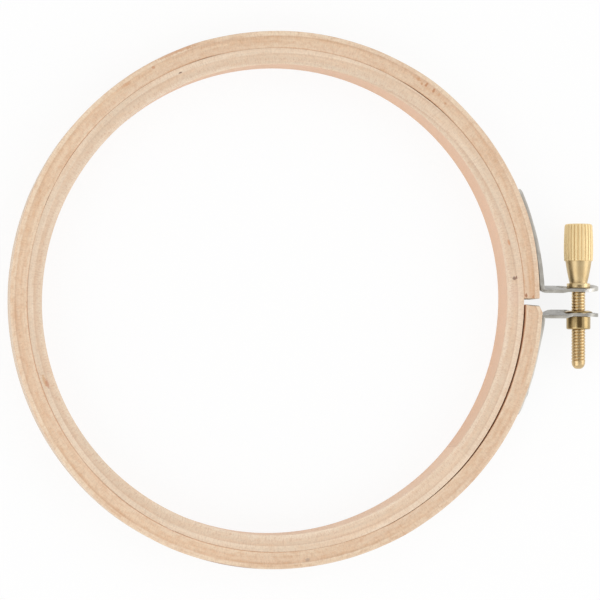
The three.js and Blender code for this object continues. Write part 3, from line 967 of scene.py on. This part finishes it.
def makeBracket(name, side):
    look = {key: value[side] if isinstance(value, dict) else value for key, value in bracketLook.items()}
    line, bendStart, bendEnd = bracketLine(side)
    length = line[-1][0]
    holeAt = length - (look["lugEnd"] - hoop["screwX"])
    hole = look["holeRadius"]
    halfWidth = look["width"] / 2
    quarter = math.pi / 2
    strapCorner, cornerColumns = look["strapCorner"], look["cornerColumns"]
    strapColumns, bendColumns = look["strapColumns"], look["bendColumns"]
    lugCornerStart = length - look["lugCorner"]
    columns = [strapCorner * (1 - math.cos(quarter * i / cornerColumns)) for i in range(cornerColumns + 1)]
    columns += [mixed(strapCorner, bendStart, i / strapColumns) for i in range(1, strapColumns)]
    columns += [mixed(bendStart, bendEnd, i / bendColumns) for i in range(bendColumns + 1)]
    columns += [mixed(bendEnd, holeAt - hole, i / 8) for i in range(1, 8)]
    columns += [holeAt - hole * math.cos(math.pi * i / 20) for i in range(21)]
    beyond = [lugCornerStart + look["lugCorner"] * math.sin(quarter * i / 14) for i in range(15)]
    columns += [along for along in beyond if along > holeAt + hole + 0.05]

    built, layers = newBuild("worn", "paintedLight", "paintedHighlight", "thicknessShare")
    worn, paintedLight, paintedHighlight, thicknessShare = layers
    rows = []
    for along in columns:
        spot = spotAt(line, along)
        before = bendStart - along  # how far it is to the bend
        outwards = spot.normalized() if before > 0 else Vector((1.0, 0.0))
        fading = clampShare(1 - before / look["springOver"]) if before > 0 else smoothShare(1 + before / 3)
        lugShare = smoothShare(-before / (bendEnd - bendStart))
        dip = look["rootDip"] * (1 - smoothShare((along - bendEnd) / look["dipOver"])) * lugShare
        sunk, narrowed, wear, sheen = [
            look[key] * smoothShare(before / look[key + "Over"]) for key in ("sink", "narrow", "wear", "sheen")
        ]
        paintedTipShare = smoothShare((spot.x - look["paintedHighlightFrom"] - 0.1) / 0.4)
        # painted highlight along the rim of the upper tip
        highlightShare = max(look["tipPaintedLight"], 0.0) * smoothShare((spot.x - look["paintedHighlightFrom"]) / 0.3)
        highlightShare *= smoothShare((look["paintedHighlightUntil"] - spot.x) / 0.4)
        edge = halfWidth - cornerDrop(strapCorner, strapCorner - along)
        edge -= cornerDrop(look["lugCorner"], along - lugCornerStart)
        inner = math.sqrt(max(hole * hole - (along - holeAt) ** 2, 0.0))
        row = []
        for sign in (1, -1):
            for i in range(look["across"] + 1):
                across = sign * mixed(inner, edge, i / look["across"])
                raised = clampShare((across + halfWidth) / look["width"])
                tipped = spot + outwards * look["springOff"] * fading * raised
                y = side * tipped.y + lugShare * leaned(look, spot.x, across) - dip * (1 - raised)
                lowered = sunk + narrowed * clampShare(across / halfWidth)
                vertex = built.verts.new(place(tipped.x, y, hoop["middle"] + across - lowered))
                fromScrew = math.hypot(spot.x - hoop["screwX"], across)
                onTip = smoothShare((fromScrew - look["collarReach"] - 0.25) / 0.5) * paintedTipShare
                vertex[worn] = wear
                # painted light: sheen on the strap's broad sides, a brighter upper tip and a darker lower tip
                vertex[paintedLight] = look["tipPaintedLight"] * onTip + sheen
                vertex[paintedHighlight] = highlightShare
                thicker = look["burr"] * fading * raised * (1 - lugShare)
                vertex[thicknessShare] = (1 + thicker) / (1 + look["burr"])
                row.append(vertex)
        rows.append(row)
    for first, second in zip(rows, rows[1:]):
        for start in (0, look["across"] + 1):
            for i in range(start, start + look["across"]):
                built.faces.new((first[i], first[i + 1], second[i + 1], second[i]))
    bmesh.ops.remove_doubles(built, verts=built.verts, dist=1e-6)
    piece = finishBuilt(name, built, nickelSheet)
    group = piece.vertex_groups.new(name="thickness")
    for i, share in enumerate(piece.data.attributes["thicknessShare"].data):
        group.add([i], share.value, "REPLACE")
    thick = piece.modifiers.new("sheet", "SOLIDIFY")
    thick.vertex_group = "thickness"
    thick.thickness = hoop["sheet"] * (1 + look["burr"]) * mm
    thick.offset = 0.0
    thick.use_even_offset = True
    rounding = piece.modifiers.new("edges", "BEVEL")
    rounding.width = look["edgeRounding"] * mm
    rounding.segments = 3
    rounding.limit_method = "ANGLE"
    rounding.angle_limit = math.radians(50)
    return keepFlats(piece)


upperBracket = makeBracket("upperBracket", 1)
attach(upperBracket, "outer")
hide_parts("upper_bracket")
lowerBracket = makeBracket("lowerBracket", -1)
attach(lowerBracket, "lower_end")
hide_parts("lower_bracket")
print("brackets made")


# A turned body from rows of its height and radius. A grooved row has functions of the
# angle for its radius and for how deep in a groove it is.
def turnedShell(built, layers, rows, steps, toPart, paleFinishAndLight=0.0, matt=0.0):
    loops = []
    for height, radiusAt, *hollowAt in rows:
        loop = []
        for i in range(steps):
            angle = 2 * math.pi * i / steps
            radius = radiusAt(angle) if hollowAt else radiusAt
            hollow = hollowAt[0](angle) if hollowAt else 0.0
            vertex = built.verts.new(toPart(radius * math.cos(angle), radius * math.sin(angle), height))
            for layer, value in zip(layers, (hollow, paleFinishAndLight, matt)):
                vertex[layer] = value
            loop.append(vertex)
        loops.append(loop)
    for first, second in zip(loops, loops[1:]):
        joinLoops(built, first, second)
    return loops


def joinLoops(built, first, second):
    for i in range(len(first)):
        after = (i + 1) % len(first)
        built.faces.new((first[i], first[after], second[after], second[i]))


def closeEnds(built, loops):
    built.faces.new(list(reversed(loops[0])))
    built.faces.new(loops[-1])


# Turns a point of a turned body into the part: its own +Z lies along +Y of the part
def screwPlace(start):
    def toPart(x, y, z):
        return place(hoop["screwX"] + x, start + z, hoop["middle"] - y)
    return toPart


screwLook = {
    "pitch": 0.635,
    "shank": 2.845,
    "threadDepth": 0.15,
    "crest": 0.52,  # shares of half a pitch
    "flank": 0.38,
    "shankLength": 16.65,
    "tipRounding": 1.5,
    "tipDrop": 1.1,
    "rowsPerTurn": 12,
    "shankSteps": 48,
    "level": 2.95,  # from which the screw's parts are measured
    "collarNearer": 0.07,  # how much nearer the lug the collar's face lies
    "collar": 4.85,
    "collarLength": 1.0,
    "collarBevel": 0.08,
    "coneEnd": 3.65,
    "coneTop": 5.4,
    "coneLength": 4.65,
    "coneSwell": 0.07,
    "coneSteps": 72,
    "gripEnd": 5.9,
    "grip": 6.05,
    "gripTop": 5.7,
    "gripLength": 7.65,
    "gripWidestAt": 0.35,
    "gripEdge": 0.45,
    "flutes": 24,
    "fluteDepth": 0.2,
    "fluteTurn": 0.047,
    "fluteSteps": 12,
}


def makeScrew():
    look = screwLook
    built, layers = newBuild("hollow", "paleFinishAndLight", "matt")
    paleFinishAndLight, matt = layers[1:]
    toPart = screwPlace(look["level"])
    crest, shankLength, rounding = look["shank"] / 2, look["shankLength"], look["tipRounding"]

    def threadShape(height, angle):
        share = (height / look["pitch"] - angle / (2 * math.pi)) % 1.0
        return clampShare((abs(share - 0.5) * 2 - look["crest"]) / look["flank"])

    def threadRow(height):
        tip = clampShare(1 - (height + shankLength) / rounding)
        limit = crest - look["tipDrop"] * cornerDrop(1.0, tip)
        return (
            height,
            lambda angle: min(crest - look["threadDepth"] * threadShape(height, angle), limit),
            lambda angle: mixed(0.75, 0.9, threadShape(height, angle)),
        )

    count = int(shankLength / look["pitch"] * look["rowsPerTurn"])
    threaded = shankLength - rounding - 0.02
    heights = [-shankLength + rounding * (1 - math.cos(math.pi / 2 * i / 7)) for i in range(7)]
    heights += [-shankLength + rounding + threaded * i / count for i in range(count + 1)]
    rows = [threadRow(height) for height in heights]
    loops = turnedShell(built, layers, rows, look["shankSteps"], toPart, 0.5, -0.18)
    for height, loop in zip(heights, loops):
        for vertex in loop:
            vertex[paleFinishAndLight] = mixed(0.5, 0.8, smoothShare((height + 7.0) / 2.0))  # painted light: brighter near the collar, between the lugs that shade the shank
    closeEnds(built, loops)

    # The collar and the cone behind it
    collar, bevel, under = look["collar"] / 2, look["collarBevel"], -look["collarNearer"]
    coneFrom, coneTo = look["collarLength"], look["collarLength"] + look["coneLength"]
    end, top = look["coneEnd"] / 2, look["coneTop"] / 2
    eased = [(0.0, bevel), (bevel * 0.3, bevel * 0.3), (bevel, 0.0)]
    outline = [(under, crest * 0.6)]
    outline += [(under + inset, collar - fall) for inset, fall in eased]
    outline += [(coneFrom - inset, collar - fall) for inset, fall in reversed(eased)]
    outline += [(coneFrom, end + 0.12), (coneFrom + 0.03, end + 0.03), (coneFrom + 0.12, end)]
    for i in range(1, 13):
        swell = look["coneSwell"] * math.sin(math.pi * i / 12)
        outline.append((mixed(coneFrom + 0.12, coneTo, i / 12), mixed(end, top, i / 12) + swell))
    outline.append((coneTo + 1.0, top))
    loops = turnedShell(built, layers, outline, look["coneSteps"], toPart, 0.1)
    for vertex in [vertex for loop in loops[:8] for vertex in loop]:  # those of the collar
        vertex[paleFinishAndLight], vertex[matt] = 0.35, -0.12
    closeEnds(built, loops)

    # The barrel-shaped grip, with narrow grooves between rounded lands
    length, edge = look["gripLength"], look["gripEdge"]
    deep, widest = look["fluteDepth"], look["gripWidestAt"]

    def barrel(share):
        low = share < widest
        rise = 1 - share / widest if low else (share - widest) / (1 - widest)
        return mixed(look["grip"], look["gripEnd"] if low else look["gripTop"], rise * rise) / 2

    def groove(angle):
        land = 1 - abs(math.sin(look["flutes"] * (angle + look["fluteTurn"]) / 2))
        return cornerDrop(1.0, land) * 0.35 + land ** 2 * 0.65

    def gripRow(height, inset, depth):
        radius = barrel(height / length) - inset
        return (
            coneTo + height,
            lambda angle: radius - depth * groove(angle),
            lambda angle: groove(angle) * depth / deep,
        )

    rows = [gripRow(0.0, 0.9, 0.0)]
    rows += [gripRow(height, inset, deep) for height, inset in ((0.0, 0.07), (0.02, 0.02), (0.07, 0.0))]
    rows += [gripRow(0.07 + (length - edge - 0.07) * i / 16, 0.0, deep) for i in range(1, 17)]
    for i in range(1, 7):
        turned = math.pi / 2 * i / 6
        inset = edge * (1 - math.cos(turned))
        rows.append(gripRow(length - edge + edge * math.sin(turned), inset, max(deep - inset * 0.75, 0.0)))
    rows += [gripRow(length, edge + 0.3, 0.0), gripRow(length - 0.02, edge + 1.2, 0.0)]
    steps = look["flutes"] * look["fluteSteps"]
    closeEnds(built, turnedShell(built, layers, rows, steps, toPart, 1.0, 0.2))
    return finishBuilt("thumbScrew", built, turnedBrass)


thumbScrew = makeScrew()
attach(thumbScrew, "screw")
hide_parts("thumb_screw")
print("thumb screw made")

nutLook = {
    "level": -2.525,
    "grip": 0.425,  # from the middle of the lug to the nut's shoulders
    "body": 5.0,
    "length": 2.6,
    "edge": 0.35,
    "neck": 3.9,
    "flange": 5.85,
    "flangeHeight": 0.42,
    "bore": 1.70,
    "steps": 72,
}


def makeNut():
    look = nutLook
    grip, edge, bore = look["grip"], look["edge"], look["bore"]
    bottom, top = -grip - look["length"], grip + look["flangeHeight"]
    outside, neck, flange = look["body"] / 2, look["neck"] / 2, look["flange"] / 2
    outline = [(bottom + 0.15, bore), (bottom, bore + 0.15)]
    for i in range(9):
        turned = math.pi / 2 * i / 8
        outline.append((bottom + edge * (1 - math.cos(turned)), outside - edge * (1 - math.sin(turned))))
    outline += [
        (-grip - 0.06, outside), (-grip, outside - 0.06), (-grip, neck), (grip, neck), (grip, flange - 0.1),
        (grip + 0.05, flange), (grip + 0.16, flange - 0.02), (grip + 0.3, flange - 0.28),
        (top, neck + 0.35), (top, bore + 0.12), (top - 0.12, bore),
    ]
    built, layers = newBuild("hollow", "paleFinishAndLight", "matt")
    loops = turnedShell(built, layers, outline, look["steps"], screwPlace(look["level"]))
    joinLoops(built, loops[-1], loops[0])
    return finishBuilt("clampNut", built, nutBrass)


clampNut = makeNut()
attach(clampNut, "lower_end")
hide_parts("clamp_nut")
print("clamp nut made")

tackLook = {
    "head": 2.6,
    "headHeight": 0.45,
    "rim": 0.04,
    "shank": 1.1,
    "point": 0.8,
    "length": 3.2,
    "inset": 4.6,
    "steps": 36,
    "seat": 0.02,
}


def makeTack(name, side, angle):
    look = tackLook
    seat = strapRadius(side, angle) + hoop["sheet"] / 2 + look["seat"]
    out = heading(angle * side)

    def toPart(x, y, z):
        spot = out * (seat + z)
        return place(spot.x - out.y * x, spot.y + out.x * x, hoop["middle"] + y)

    head, shank, length, rim = look["head"] / 2, look["shank"] / 2, look["length"], look["rim"]
    outline = [(-length, 0.03), (-length + look["point"], shank)]
    outline += [(0.0, shank), (0.0, head - 0.05), (rim, head)]
    for i in range(1, 10):
        rise = math.pi / 2 * i / 10
        outline.append((rim + (look["headHeight"] - rim) * math.sin(rise), head * math.cos(rise)))
    built, layers = newBuild("hollow", "paleFinishAndLight", "matt")
    closeEnds(built, turnedShell(built, layers, outline, look["steps"], toPart))
    return finishBuilt(name, built, nickelTack)


insetAngle = strapAngle(tackLook["inset"])
for sideName, side, body in (("upper", 1, "outer"), ("lower", -1, "lower_end")):
    bent = bendAngleOf(side)
    strapEnd = bent + strapAngle(bracketLook["strapLength"])
    for number, angle in ((1, bent + insetAngle), (2, strapEnd - insetAngle)):
        tack = makeTack(f"{sideName}Tack{number}", side, angle)
        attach(tack, body)
        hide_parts(f"{sideName}_tack_{number}")
print("tacks made")
